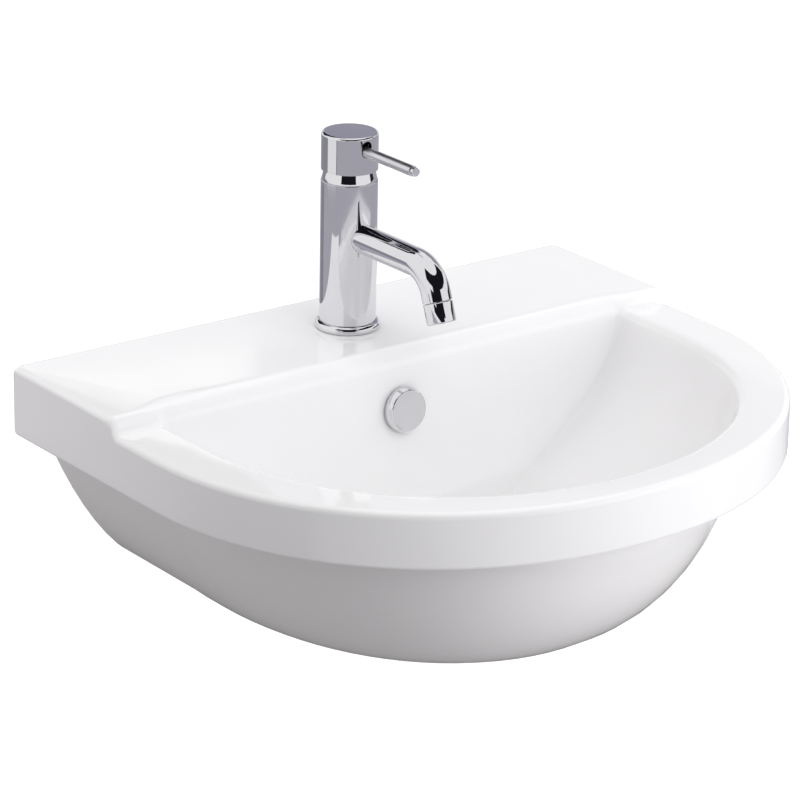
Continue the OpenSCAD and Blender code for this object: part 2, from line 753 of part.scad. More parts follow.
// Mixing cartridge, from its seal up: seal, housing, fixed disc, sliding disc, turret and lever
cart_r = 14;
cart_wall = 1.3;
seal_h = 0.8;
cart_base_t = 2.2;
disc_t = 3;
disc_z = pocket_floor + seal_h + cart_base_t;
slide_z = disc_z + disc_t;
slide_t = 3.5;
carrier_h = 6;
carrier_r = 6;
ball_z = slide_z + slide_t + 3;
ball_r = 2.6;
pivot_z = 118;
turret_r = 9.5;
turret_z = ball_z + 4;
shoulder_z = 112;
guide_r = 12;
neck_z = column_h;
cap_z = column_h + neck_h;
guide_top = cap_z - 1.5;
rod_x = 5.8;
rod_y = 5;

module port_holes(z0, h) {
    for (s = [-1, 1]) translate([s * port_x, port_y, z0]) cylinder(h = h, r = port_r);
    translate([0, out_y, z0]) cylinder(h = h, r = out_r);
}

module cartridge_seal() {
    color(rubber) at_tap() difference() {
        translate([0, 0, pocket_floor]) cylinder(h = seal_h, r = cart_r - 0.5);
        port_holes(pocket_floor - 1, seal_h + 2);
    }
}

module cartridge_housing() {
    base_z = pocket_floor + seal_h;
    color(plastic) at_tap() difference() {
        rotate_extrude() {
            translate([0, base_z]) square([cart_r, cart_base_t]);
            translate([cart_r - cart_wall, base_z]) square([cart_wall, shoulder_z - base_z]);
            translate([turret_r + run_gap, shoulder_z - 3]) square([cart_r - turret_r - run_gap, 3]);
            translate([turret_r + run_gap, shoulder_z - 3])
                square([guide_r - turret_r - run_gap, guide_top - shoulder_z + 3]);
        }
        port_holes(base_z - 1, cart_base_t + 2);
    }
}

module fixed_disc() {
    color(alumina) at_tap() difference() {
        translate([0, 0, disc_z]) cylinder(h = disc_t, r = cart_r - cart_wall - run_gap);
        port_holes(disc_z - 1, disc_t + 2);
    }
}

module moving_disc() {
    color(alumina) at_tap() difference() {
        rotate_extrude() {
            translate([0, slide_z]) square([9.6, slide_t]);
            translate([0, slide_z]) square([carrier_r, slide_t + carrier_h]);
        }
        translate([0, 0, slide_z + slide_t + 0.1]) cylinder(h = carrier_h, r = ball_r + free_gap);
    }
}

module turret() {
    collar_z = guide_top + free_gap;
    color(plastic) at_tap() difference() {
        union() {
            translate([0, 0, turret_z]) cylinder(h = collar_z + 6 - turret_z, r = turret_r);
            translate([0, 0, collar_z]) cylinder(h = 7, r = guide_r);
        }
        translate([-rod_x / 2 - free_gap, -7, turret_z - 1]) cube([rod_x + 2 * free_gap, 14, 40]);
        translate([-turret_r, 0, pivot_z]) rotate([0, 90, 0]) cylinder(h = 2 * turret_r, r = 1.5);
    }
}

module pivot_pin() {
    color(steel) at_tap() translate([-turret_r + 0.6, 0, pivot_z]) rotate([0, 90, 0])
        cylinder(h = 2 * turret_r - 1.2, r = 1.5 - 0.02);
}

hub_z = pivot_z + 12.5;
hub_h = 14;
hub_x = 12;
hub_y = 14;
pin_z = cap_z + cap_h - pin_drop;

module cartridge_lever() {
    color(steel) at_tap() difference() {
        union() {
            translate([0, 0, ball_z]) sphere(ball_r);
            translate([0, 0, ball_z]) cylinder(h = 6, r = 1.8);
            translate([-rod_x / 2, -rod_y / 2, ball_z + 5]) cube([rod_x, rod_y, hub_z + 4 - ball_z - 5]);
        }
        translate([-turret_r, 0, pivot_z]) rotate([0, 90, 0]) cylinder(h = 2 * turret_r, r = 1.5 + run_gap);
    }
}

// Ring nut that presses the cartridge into its pocket, and the bright neck ring above it
module cartridge_nut() {
    color(brass) at_tap() rotate_extrude() {
        translate([cart_r + hand_gap, nut_floor + 0.5]) square([nut_r - cart_r - hand_gap, column_h - nut_floor - 0.6]);
        translate([guide_r + hand_gap, shoulder_z]) square([nut_r - guide_r - hand_gap, column_h - shoulder_z - 0.1]);
    }
}

neck_in = 1.6;

module neck_ring() {
    color(chrome) at_tap() rotate_extrude() {
        translate([nut_r - 1, neck_z]) square([column_r - neck_in - nut_r + 1, neck_h - free_gap]);
        translate([guide_r + free_gap, cap_z - free_gap - 1.5])
            square([column_r - neck_in - guide_r - free_gap, 1.5]);
    }
}

// Handle cap: a drum with the lever's slot in front and a web that grips the turret
web_z = cap_z + 1.5;
web_t = 3;
grub_r = 2;

module handle_cap() {
    r = column_r;
    edge = 2;
    slot_low = pin_z - pin_d / 2 - slot_gap;
    slot_top = cap_z + cap_h - 3;
    slot_r = pin_d / 2 + slot_gap;
    color(chrome) at_tap() difference() {
        rotate_extrude() {
            difference() {
                union() {
                    translate([0, cap_z]) square([r, cap_h - edge]);
                    translate([0, cap_z]) square([r - edge, cap_h]);
                    intersection() {
                        translate([r - edge, cap_z + cap_h - edge]) circle(edge);
                        translate([0, cap_z]) square([r, cap_h]);
                    }
                }
                translate([-1, cap_z - 1]) square([r - cap_wall + 1, cap_h - cap_wall + 1]);
            }
            translate([guide_r + run_gap, web_z]) square([r - cap_wall - guide_r, web_t]);
            translate([guide_r + run_gap, web_z]) square([4, web_t + 3]);
        }
        translate([0, 0, 0]) rotate([90, 0, 0]) {
            translate([0, slot_low + slot_r, r - cap_wall - 2]) cylinder(h = cap_wall + 4, r = slot_r);
            translate([0, slot_top - slot_r, r - cap_wall - 2]) cylinder(h = cap_wall + 4, r = slot_r);
            translate([-slot_r, slot_low + slot_r, r - cap_wall - 2])
                cube([2 * slot_r, slot_top - slot_low - 2 * slot_r, cap_wall + 4]);
        }
        translate([0, guide_r - 1, web_z + web_t]) rotate([-90, 0, 0]) cylinder(h = r, r = grub_r + run_gap);
    }
}

module cap_grub_screw() {
    color(steel) at_tap() translate([0, guide_r + run_gap, web_z + web_t]) rotate([-90, 0, 0])
        cylinder(h = column_r - guide_r - 1.5, r = grub_r);
}

// Block on the cartridge's lever, with a square socket below and the pin's thread in front
pin_root = 3.2;

module lever_hub() {
    color(steel) at_tap() difference() {
        translate([-hub_x / 2, -hub_y / 2, hub_z]) cube([hub_x, hub_y, hub_h]);
        translate([-rod_x / 2, -rod_y / 2, hub_z - 1]) cube([rod_x, rod_y, 5]);
        translate([0, -pin_root, pin_z]) rotate([90, 0, 0]) cylinder(h = hub_y, r = pin_d / 2 - 0.8 + run_gap);
        translate([0, 0, hub_z + 2]) rotate([-90, 0, 0]) cylinder(h = hub_y, r = 1.5);
    }
}

module lever_grub_screw() {
    color(steel) at_tap() translate([0, rod_y / 2, hub_z + 2]) rotate([-90, 0, 0]) cylinder(h = 4, r = 1.5 - run_gap);
}

tip_len = 3.6;
tip_in = 0.7;

module pin_lever() {
    color(chrome) at_tap() translate([0, 0, pin_z]) rotate([90, 0, 0]) rotate_extrude() {
        translate([0, pin_root]) square([pin_d / 2 - 0.8, hub_y / 2 - pin_root + 1]);
        translate([0, hub_y / 2]) square([pin_d / 2, pin_reach - tip_len - hub_y / 2 - 0.6]);
        translate([0, hub_y / 2]) square([pin_d / 2 - 0.6, pin_reach - tip_len - hub_y / 2]);
    }
}

module lever_tip() {
    color(chrome) at_tap() translate([0, 0, pin_z]) rotate([90, 0, 0]) rotate_extrude() {
        translate([0, pin_reach - tip_len]) square([pin_d / 2 - tip_in, tip_len - 0.8]);
        translate([0, pin_reach - tip_len]) square([pin_d / 2 - tip_in - 0.8, tip_len]);
        intersection() {
            translate([pin_d / 2 - tip_in - 0.8, pin_reach - 0.8]) circle(0.8);
            translate([0, pin_reach - tip_len]) square([pin_d, tip_len]);
        }
    }
}

basin();
fixing_sleeves();
overflow_cap();
overflow_sleeve();
overflow_seal();
waste_body();
waste_upper_seal();
waste_lower_seal();
waste_nut();
click_housing();
click_stem();
click_spring();
plug_dome();
plug_seal();
tap_body();
base_ring();
base_gasket();
spout();
aerator_housing();
aerator_insert();
aerator_seal();
mounting_stud();
rubber_horseshoe();
metal_horseshoe();
stud_nut();
cartridge_housing();
cartridge_seal();
fixed_disc();
moving_disc();
turret();
pivot_pin();
cartridge_lever();
cartridge_nut();
neck_ring();
handle_cap();
cap_grub_screw();
lever_hub();
lever_grub_screw();
pin_lever();
lever_tip();
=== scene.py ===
# %% [markdown]
# A wall-hung basin with its mixer tap, for a reader who is learning Blender.
# The solids come from a finished CAD model: every node already has its exact place and size,
# and the moving ones ride on bodies. Here they get their finish, and the pieces whose skin
# has to be smoother or more detailed than a CAD solid are made anew over them.

import json
import math

import bpy
from mathutils import Euler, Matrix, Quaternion, Vector

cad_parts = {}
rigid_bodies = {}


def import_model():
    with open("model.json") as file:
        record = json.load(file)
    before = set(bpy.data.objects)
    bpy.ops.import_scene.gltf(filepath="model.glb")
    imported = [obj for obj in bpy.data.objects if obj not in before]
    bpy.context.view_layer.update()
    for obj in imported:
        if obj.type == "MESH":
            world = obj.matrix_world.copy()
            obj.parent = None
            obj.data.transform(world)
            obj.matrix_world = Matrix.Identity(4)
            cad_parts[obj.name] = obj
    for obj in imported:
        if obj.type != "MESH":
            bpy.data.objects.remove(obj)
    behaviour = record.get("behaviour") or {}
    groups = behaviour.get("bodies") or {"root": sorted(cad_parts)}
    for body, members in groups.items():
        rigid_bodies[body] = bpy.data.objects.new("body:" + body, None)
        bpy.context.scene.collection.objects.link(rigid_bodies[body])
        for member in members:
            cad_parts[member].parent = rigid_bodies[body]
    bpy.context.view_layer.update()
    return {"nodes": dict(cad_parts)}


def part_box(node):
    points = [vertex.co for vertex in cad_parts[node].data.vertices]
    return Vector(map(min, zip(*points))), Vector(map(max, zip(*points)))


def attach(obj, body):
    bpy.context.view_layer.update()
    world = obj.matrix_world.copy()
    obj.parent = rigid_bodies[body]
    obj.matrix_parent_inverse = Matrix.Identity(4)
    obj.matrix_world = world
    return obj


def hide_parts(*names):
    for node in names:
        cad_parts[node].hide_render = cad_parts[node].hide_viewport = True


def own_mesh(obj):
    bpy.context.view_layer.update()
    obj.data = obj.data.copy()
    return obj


bpy.ops.object.select_all(action="SELECT")
bpy.ops.object.delete()
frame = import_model()
nodes = frame["nodes"]

# %% [markdown]
# The camera comes first, because every later choice is judged through it. Its place, its
# turn and its long lens were found by laying the part's outlines over the photograph's:
# it stands about 2.9 m away, in front and to the left, and looks down by some 21 degrees.
# A small roll is part of the fit, so the turn is a quaternion, made from two parts.

# %% Camera
camera_data = bpy.data.cameras.new("photo_camera")
camera_data.lens = 174.17
camera_data.sensor_width = 36.0
camera_data.clip_start = 0.1
camera_data.clip_end = 60.0
camera = bpy.data.objects.new("photo_camera", camera_data)
bpy.context.scene.collection.objects.link(camera)
look_down, bearing, roll = (math.radians(a) for a in (20.624, -37.398, 1.081))
camera.location = (-1.60292, -2.22828, 1.04984)
aim = Euler((math.radians(90) - look_down, 0, bearing), "XYZ").to_quaternion()
camera.rotation_mode = "QUATERNION"
camera.rotation_quaternion = aim @ Quaternion((0, 0, 1), roll)
bpy.context.scene.camera = camera
print("camera", [round(v, 3) for v in camera.location])

# %% [markdown]
# Colours are written as they should look on screen, and a small helper turns them into the
# linear numbers that Blender's nodes work with. A second helper starts a material with an
# empty node tree, a third adds a node and sets its plain inputs in one line.


# %% Helpers for colours and nodes
def screen(r, g, b):
    """A colour as it looks on screen, turned into linear numbers with full alpha."""
    linear = [(c / 12.92 if c <= 0.04045 else ((c + 0.055) / 1.055) ** 2.4) for c in (r, g, b)]
    return (*linear, 1.0)


def start_material(name):
    material = bpy.data.materials.new(name)
    material.use_nodes = True
    material.node_tree.nodes.clear()
    return material, material.node_tree


def add(tree, kind, place, values=None, **settings):
    """A new node, with its settings and the plain values of its inputs."""
    node = tree.nodes.new(kind)
    node.location = place
    for key, value in settings.items():
        setattr(node, key, value)
    for key, value in (values or {}).items():
        node.inputs[key].default_value = value
    return node


def join(tree, *pairs):
    """Links from (node, output, node, input) groups."""
    for a, out, b, into in pairs:
        tree.links.new(a.outputs[out], b.inputs[into])


print("helpers ready")

# %% [markdown]
# The background of the photograph is plain white. The world is white where the camera, a
# mirror or glass looks at it, and a softer grey where it lights the object, so the white
# costs no extra light. The factor comes from the Light Path node, which stays out of groups.

# %% World
view = bpy.context.scene.view_settings
view.view_transform = "Standard"
world = bpy.data.worlds.new("studio_air")
bpy.context.scene.world = world
world.use_nodes = True
air = world.node_tree
air.nodes.clear()


def seen_directly(tree, place):
    """1 where a camera, mirror or glass ray asks, 0 where a surface gathers its light."""
    x, y = place
    path = add(tree, "ShaderNodeLightPath", (x, y))
    first = add(tree, "ShaderNodeMath", (x + 200, y), operation="MAXIMUM")
    second = add(tree, "ShaderNodeMath", (x + 400, y), operation="MAXIMUM")
    join(
        tree,
        (path, "Is Camera Ray", first, 0),
        (path, "Is Glossy Ray", first, 1),
        (first, 0, second, 0),
        (path, "Is Transmission Ray", second, 1),
    )
    return second


ambient = add(air, "ShaderNodeBackground", (0, 0), {"Color": (1.0, 0.99, 1.0, 1), "Strength": 0.95})
paper = add(air, "ShaderNodeBackground", (0, -150), {"Color": (1, 1, 1, 1), "Strength": 1.0})
air_mix = add(air, "ShaderNodeMixShader", (250, 0))
air_out = add(air, "ShaderNodeOutputWorld", (450, 0))
join(
    air,
    (seen_directly(air, (-500, 200)), 0, air_mix, 0),
    (ambient, 0, air_mix, 1),
    (paper, 0, air_mix, 2),
    (air_mix, 0, air_out, 0),
)
print("world light", ambient.inputs["Strength"].default_value)

# %% [markdown]
# The basin hangs on a wall, so the floor lies well below it, where a basin's floor is. Seen
# directly it is white paper that keeps the soft shadow, and for bounced light it is a darker
# pale grey, or it would light the underside too much. From below it is see-through, so that
# a view from under the basin isn't blocked.

# %% Floor
floor_z = -0.86
bpy.ops.object.select_all(action="DESELECT")
bpy.ops.mesh.primitive_circle_add(
    vertices=96, radius=14, fill_type="NGON", location=(0, 0, floor_z)
)
floor = bpy.context.object
floor.name = "studio_floor"
floor_paper, tree = start_material("floor_paper")
floor_out = add(tree, "ShaderNodeOutputMaterial", (900, 0))
floor_skin = add(
    tree, "ShaderNodeBsdfPrincipled", (400, 0), {"Roughness": 0.9, "Specular IOR Level": 0.0}
)
floor_tone = add(tree, "ShaderNodeMix", (150, 0), data_type="RGBA")
floor_tone.inputs["A"].default_value = (0.36, 0.35, 0.355, 1)
floor_tone.inputs["B"].default_value = (1.0, 1.0, 1.0, 1)
floor_side = add(tree, "ShaderNodeNewGeometry", (400, 250))
floor_clear = add(tree, "ShaderNodeBsdfTransparent", (400, -400))
floor_mix = add(tree, "ShaderNodeMixShader", (700, 0))
join(
    tree,
    (seen_directly(tree, (-500, 100)), 0, floor_tone, "Factor"),
    (floor_tone, "Result", floor_skin, "Base Color"),
    (floor_side, "Backfacing", floor_mix, 0),
    (floor_skin, 0, floor_mix, 1),
    (floor_clear, 0, floor_mix, 2),
    (floor_mix, 0, floor_out, 0),
)
floor.data.materials.append(floor_paper)
print("floor at", floor.location.z)

# %% [markdown]
# The photograph is lit softly, mostly from the right: the right end of the apron is nearly
# white, the front turns grey towards the left, and the underside is the darkest. How strong
# each lamp has to be was found by rendering one lamp at a time and adding those pictures up.
# Wide suns have the same strength all over the part. The low disc on the right is turned
# towards the bowl's underside: it reaches that and the apron, but the rim keeps it out of
# the bowl.


# %% Lamps
def sun(name, towards, strength, width, colour):
    """A sun that stands towards a direction; its width in degrees makes it soft."""
    lamp = bpy.data.lights.new(name, "SUN")
    lamp.energy = strength * math.pi
    lamp.angle = math.radians(width)
    lamp.color = colour
    thing = bpy.data.objects.new(name, lamp)
    bpy.context.scene.collection.objects.link(thing)
    thing.rotation_euler = Vector(towards).to_track_quat("Z", "Y").to_euler()
    thing.visible_glossy = False
    return thing


lamps = [
    sun("side_light", (0.66, -0.74, 0.03), 0.186, 36, (0.97, 0.98, 1.0)),
    sun("front_light", (0.0, -0.75, 0.66), 0.20, 50, (0.97, 0.985, 1.0)),
    sun("back_light", (0.0, 0.70, 0.70), 0.10, 50, (1.0, 1.0, 0.98)),
    sun("left_light", (-0.90, -0.35, 0.12), 0.136, 50, (1.0, 0.985, 0.99)),
]
low_disc = bpy.data.lights.new("low_disc", "AREA")
low_disc.shape = "DISK"
low_disc.size = 0.9
low_disc.energy = 11.9
disc_place = Vector((1.5, -1.6, -0.45))
disc_target = Vector((0, -0.2, 0))
low_lamp = bpy.data.objects.new("low_disc", low_disc)
bpy.context.scene.collection.objects.link(low_lamp)
low_lamp.location = disc_place
low_lamp.rotation_euler = (disc_place - disc_target).to_track_quat("Z", "Y").to_euler()
low_lamp.visible_glossy = False
lamps.append(low_lamp)
print("lamps:", [lamp.name for lamp in lamps])

# %% [markdown]
# Polished chrome has no colour of its own: what it shows is the room. In the photograph the
# tap mirrors a dim studio: dark behind the camera, a dark flag above the back, a white
# sheet low on the left that only the handle reaches. Those are set up here as sheets that
# only mirrors see. They cast no shadow, give matt surfaces no light and stay invisible to
# the camera. Each stands between two bearings, counted from straight ahead (-Y) towards the
# right, with the tap at its middle. The pale wall is there for the glaze: the flat shelf
# mirrors it, and so stands out from the white background.


# %% Reflected flats
def card(sheet, tone):
    """Gives a sheet one even tone and hides it from all but mirrors."""
    cloth, tree = start_material(sheet.name + "_cloth")
    glow = add(tree, "ShaderNodeEmission", (0, 0), {"Color": (*tone, 1), "Strength": 1.0})
    join(tree, (glow, 0, add(tree, "ShaderNodeOutputMaterial", (200, 0)), 0))
    sheet.data.materials.append(cloth)
    sheet.visible_camera = False
    sheet.visible_diffuse = False
    sheet.visible_shadow = False
    sheet.visible_volume_scatter = False
    return sheet


tap_y = -0.066  # the tap's axis, measured from the wall


def standing(name, bearings, heights, reach, tone, roof=()):
    """An upright sheet; roof gives (bearing, height) points of a sloping upper edge."""
    a0, a1 = [math.radians(a) for a in bearings]
    steps = max(2, int(abs(bearings[1] - bearings[0]) / 6))
    bpy.ops.object.select_all(action="DESELECT")
    bpy.ops.mesh.primitive_grid_add(x_subdivisions=steps, y_subdivisions=1, size=2)
    sheet = bpy.context.object
    sheet.name = name
    for corner in sheet.data.vertices:
        a = a0 + (a1 - a0) * (corner.co.x + 1) / 2
        top = heights[1]
        for (b0, z0), (b1, z1) in zip(roof, roof[1:]):
            if b0 <= math.degrees(a) <= b1 + 0.01:
                top = z0 + (z1 - z0) * (math.degrees(a) - b0) / (b1 - b0)
        z = heights[0] + (top - heights[0]) * (corner.co.y + 1) / 2
        corner.co = (reach * math.sin(a), tap_y - reach * math.cos(a), z)
    return card(sheet, tone)


sheet_foot = -0.80
bpy.ops.object.select_all(action="DESELECT")
bpy.ops.mesh.primitive_circle_add(
    vertices=64, radius=1.6, fill_type="NGON", location=(0, 0, sheet_foot)
)
bpy.context.object.name = "low_floor"
dark = (0.010, 0.010, 0.014)
flats = [
    card(bpy.context.object, (0.14, 0.135, 0.14)),
    standing("low_ring", (-180, 180), (sheet_foot, 0.10), 1.50, (0.46, 0.45, 0.50)),
    standing("left_sheet", (-134, -91), (-0.231, 0.10), 1.42, (0.93, 0.93, 0.93)),
    standing("left_edge", (-91, -88), (-0.231, 0.10), 1.42, (0.20, 0.20, 0.22)),
    standing("left_dark", (-185, -134), (-0.231, 0.10), 1.44, (0.30, 0.30, 0.34)),
    standing("left_low", (-185, -156), (sheet_foot, -0.238), 1.44, (0.28, 0.28, 0.32)),
    standing(
        "front_sheet",
        (-67, 60),
        (sheet_foot, -0.2375),
        1.42,
        (0.78, 0.78, 0.81),
        roof=((-67, -0.286), (-33, -0.260), (2, -0.2375), (32, -0.253), (60, -0.265)),
    ),
    standing("dark_low", (-70, -9), (0.27, 0.58), 1.80, dark),
    standing("dark_middle", (-52, 2), (0.50, 0.95), 1.80, dark),
    standing("dark_room", (-82, 86), (0.95, 2.75), 1.80, dark),
    standing("dark_side", (60, 100), (-0.05, 0.35), 1.80, (0.02, 0.02, 0.026)),
    standing("dark_flag", (147, 200), (0.84, 3.00), 1.80, (0.012, 0.012, 0.016)),
    standing("grey_wall", (95, 147), (0.79, 2.00), 1.90, (0.345, 0.34, 0.41)),
    standing("pale_wall", (95, 172), (0.45, 0.79), 1.90, (0.64, 0.635, 0.66)),
]

# %% [markdown]
# One more flat works the other way round. In front on the left, where the camera stands, the
# studio is dark, and the front of the apron turns grey there. A black flag takes that light
# away: it casts a shadow and is seen by matt surfaces, but not by the camera.

# %% Black flag
flag = standing("black_flag", (-73, -32), (-0.06, 0.56), 0.84, (0, 0, 0))
flag.visible_diffuse = True
flag.visible_shadow = True
flag.visible_glossy = False
flag.visible_transmission = False
print("flats:", [sheet.name for sheet in flats])

# %% [markdown]
# No real surface is quite even. One shader group gives every finish its slow clouding and
# its fine ripple: two noises on Object coordinates. It puts out a mask, which mixes colours
# and sets roughness, and a height for a Bump node. Scales are in cycles per metre, so a
# number such as 40 means a cloud every 25 mm.

# %% Shared group: surface_clouds
clouds = bpy.data.node_groups.new("surface_clouds", "ShaderNodeTree")
for name, low in (("Cloud Scale", 20.0), ("Ripple Scale", 120.0), ("Low", 0.0), ("High", 1.0)):
    socket = clouds.interface.new_socket(name, in_out="INPUT", socket_type="NodeSocketFloat")
    socket.default_value = low
for name in ("Mask", "Value", "Height"):
    clouds.interface.new_socket(name, in_out="OUTPUT", socket_type="NodeSocketFloat")
way_in = add(clouds, "NodeGroupInput", (-700, 0))
way_out = add(clouds, "NodeGroupOutput", (500, 0))
where = add(clouds, "ShaderNodeTexCoord", (-700, 300))
slow = add(clouds, "ShaderNodeTexNoise", (-400, 200), {"Detail": 2.0, "Roughness": 0.55})
quick = add(clouds, "ShaderNodeTexNoise", (-400, -150), {"Detail": 1.0, "Roughness": 0.5})
spread = add(
    clouds, "ShaderNodeMapRange", (-150, 200), {"From Min": 0.32, "From Max": 0.68}, clamp=True
)
tune = add(clouds, "ShaderNodeMapRange", (150, 0), clamp=True)
join(
    clouds,
    (where, "Object", slow, "Vector"),
    (where, "Object", quick, "Vector"),
    (way_in, "Cloud Scale", slow, "Scale"),
    (way_in, "Ripple Scale", quick, "Scale"),
    (slow, 0, spread, "Value"),
    (spread, "Result", tune, "Value"),
    (way_in, "Low", tune, "To Min"),
    (way_in, "High", tune, "To Max"),
    (spread, "Result", way_out, "Mask"),
    (tune, "Result", way_out, "Value"),
    (quick, 0, way_out, "Height"),
)
print("group sockets:", len(clouds.interface.items_tree))


# %% [markdown]
# Most finishes have the same build: two close colours mixed by the clouds, a roughness that
# wanders between two values, and a faint bump. A helper lays out those nodes, and each
# finish then gets its own numbers. The Principled BSDF stays in the material itself.


# %% Finish helper
def finish(name, colours, rough, clouds_at=(20, 120), bump=(0.05, 0.0002), metal=0.0, **more):
    """A finish from two colours, a roughness span, cloud and ripple scales and a bump."""
    material, tree = start_material(name)
    skin = add(tree, "ShaderNodeBsdfPrincipled", (400, 0), {"Metallic": metal, **more})
    out = add(tree, "ShaderNodeOutputMaterial", (700, 0))
    cloud = add(tree, "ShaderNodeGroup", (-300, 0))
    cloud.node_tree = clouds
    cloud.inputs["Cloud Scale"].default_value = clouds_at[0]
    cloud.inputs["Ripple Scale"].default_value = clouds_at[1]
    cloud.inputs["Low"].default_value = rough[0]
    cloud.inputs["High"].default_value = rough[1]
    tone = add(tree, "ShaderNodeMix", (0, 150), data_type="RGBA")
    tone.inputs["A"].default_value = colours[0]
    tone.inputs["B"].default_value = colours[1]
    rise = add(
        tree, "ShaderNodeBump", (100, -250), {"Strength": bump[0], "Distance": bump[1]}
    )
    join(
        tree,
        (cloud, "Mask", tone, "Factor"),
        (tone, "Result", skin, "Base Color"),
        (cloud, "Value", skin, "Roughness"),
        (cloud, "Height", rise, "Height"),
        (rise, "Normal", skin, "Normal"),
        (skin, 0, out, 0),
    )
    return material


metals = {
    "chrome": finish(
        "polished_chrome",
        (screen(0.875, 0.875, 0.885), screen(0.86, 0.86, 0.875)),
        (0.03, 0.06),
        (30, 90),
        (0.012, 0.0003),
        metal=1.0,
    ),
    "soft_chrome": finish(
        "soft_chrome",
        (screen(0.865, 0.865, 0.88), screen(0.85, 0.85, 0.865)),
        (0.27, 0.31),
        (30, 90),
        (0.012, 0.0003),
        metal=1.0,
    ),
    "brass": finish(
        "turned_brass",
        (screen(0.80, 0.68, 0.42), screen(0.73, 0.60, 0.36)),
        (0.22, 0.38),
        (60, 900),
        (0.15, 0.0002),
        metal=1.0,
    ),
    "steel": finish(
        "plain_steel",
        (screen(0.70, 0.71, 0.72), screen(0.62, 0.63, 0.65)),
        (0.25, 0.42),
        (80, 1400),
        (0.2, 0.0002),
        metal=1.0,
    ),
}
others = {
    "china": finish(
        "glazed_china",
        (screen(0.948, 0.945, 0.946), screen(0.938, 0.936, 0.938)),
        (0.05, 0.09),
        (9, 45),
        (0.03, 0.0006),
    ),
    "rubber": finish(
        "black_rubber",
        (screen(0.13, 0.13, 0.135), screen(0.17, 0.17, 0.17)),
        (0.62, 0.8),
        (60, 1500),
        (0.3, 0.0002),
    ),
    "plastic": finish(
        "moulded_plastic",
        (screen(0.88, 0.88, 0.86), screen(0.84, 0.84, 0.83)),
        (0.38, 0.5),
        (50, 1800),
        (0.2, 0.0001),
    ),
    "alumina": finish(
        "lapped_alumina",
        (screen(0.95, 0.93, 0.89), screen(0.92, 0.90, 0.86)),
        (0.18, 0.3),
        (70, 2200),
        (0.1, 0.0001),
    ),
}
finishes = {**metals, **others}
print("finishes:", sorted(finishes))

# %% [markdown]
# A basin stands on its back in the kiln, so that face is left without glaze: the bare
# sintered body is matt, a little warmer and finely grained. It is found by its place alone,
# the last half millimetre before the wall, and mixed in ahead of the shader's colour and
# roughness.

# %% Unglazed back
glaze_ends = {"From Min": -0.0008, "From Max": -0.0003}
china_tree = finishes["china"].node_tree
china_shader = next(node for node in china_tree.nodes if node.type == "BSDF_PRINCIPLED")
glazed_colour = china_shader.inputs["Base Color"].links[0].from_socket
glazed_rough = china_shader.inputs["Roughness"].links[0].from_socket
spot = add(china_tree, "ShaderNodeTexCoord", (-900, 600))
split = add(china_tree, "ShaderNodeSeparateXYZ", (-700, 600))
at_wall = add(china_tree, "ShaderNodeMapRange", (-500, 600), glaze_ends, clamp=True)
grain = add(china_tree, "ShaderNodeTexNoise", (-500, 900), {"Scale": 700.0, "Detail": 4.0})
bare = add(china_tree, "ShaderNodeMix", (-250, 900), data_type="RGBA")
bare.inputs["A"].default_value = screen(0.90, 0.88, 0.84)
bare.inputs["B"].default_value = screen(0.82, 0.80, 0.76)
body_colour = add(china_tree, "ShaderNodeMix", (200, 500), data_type="RGBA")
body_rough = add(china_tree, "ShaderNodeMix", (200, 250), {"B": 0.85}, data_type="FLOAT")
china_tree.links.new(glazed_colour, body_colour.inputs["A"])
china_tree.links.new(glazed_rough, body_rough.inputs["A"])
join(
    china_tree,
    (spot, "Object", split, 0),
    (spot, "Object", grain, "Vector"),
    (split, "Y", at_wall, "Value"),
    (grain, 0, bare, "Factor"),
    (bare, "Result", body_colour, "B"),
    (at_wall, "Result", body_colour, "Factor"),
    (at_wall, "Result", body_rough, "Factor"),
    (body_colour, "Result", china_shader, "Base Color"),
    (body_rough, "Result", china_shader, "Roughness"),
)
print("china nodes:", len(china_tree.nodes))

# %% [markdown]
# Each CAD node came with a stand-in material named after its slot. Its mesh and place are
# right, so only the material in its slots is exchanged. The thin lever is chromed like the
# rest, but the photograph shows it softer, so it gets a slightly rougher chrome.

# %% Dress the CAD nodes
for node in nodes.values():
    for slot in node.material_slots:
        slot.material = finishes[slot.material.name.split(".")[0]]
for name in ("pin_lever", "lever_tip"):
    for slot in nodes[name].material_slots:
        slot.material = finishes["soft_chrome"]
print("dressed", len(nodes), "nodes")

# %% [markdown]
# The china is one skin whose facets would show as flat patches in its glaze. The CAD mesh
# is loose triangles, so a copy of it is merged into one skin and shaded smooth, with its
# real edges kept crisp by their angle. The face-weighted normals then follow the broad
# curves instead of the thin triangles beside the holes.
#
# The photograph shows the bowl narrower lower down than the CAD solid: the crease between its
# back wall and its right wall runs almost straight towards the waste. So the inner corners
# are drawn in sideways, the more the deeper they lie. The china only gets thicker by that,
# and the waste, the overflow and the outside stay where they are. High up, where the lip
# rounds over into the rim, a corner belongs to the bowl if it lies within the lip's outline,
# a superellipse; the move fades out over the rim. At both ends of the shelf the photograph's
# step down to the rim is steeper too, so its rows are drawn together there.

# %% China skin
china = nodes["basin"].copy()
china.data = nodes["basin"].data.copy()
china.name = "china_skin"
for key_name in list(china.keys()):
    del china[key_name]
bpy.context.scene.collection.objects.link(china)
china.parent = None
china.matrix_world = nodes["basin"].matrix_world.copy()
bpy.ops.object.select_all(action="DESELECT")
china.select_set(True)
bpy.context.view_layer.objects.active = china
bpy.ops.mesh.customdata_custom_splitnormals_clear()
bpy.ops.object.mode_set(mode="EDIT")
bpy.ops.mesh.select_all(action="SELECT")
bpy.ops.mesh.remove_doubles(threshold=0.00001)
bpy.ops.object.mode_set(mode="OBJECT")
bpy.ops.object.transform_apply(location=True, rotation=True, scale=True)

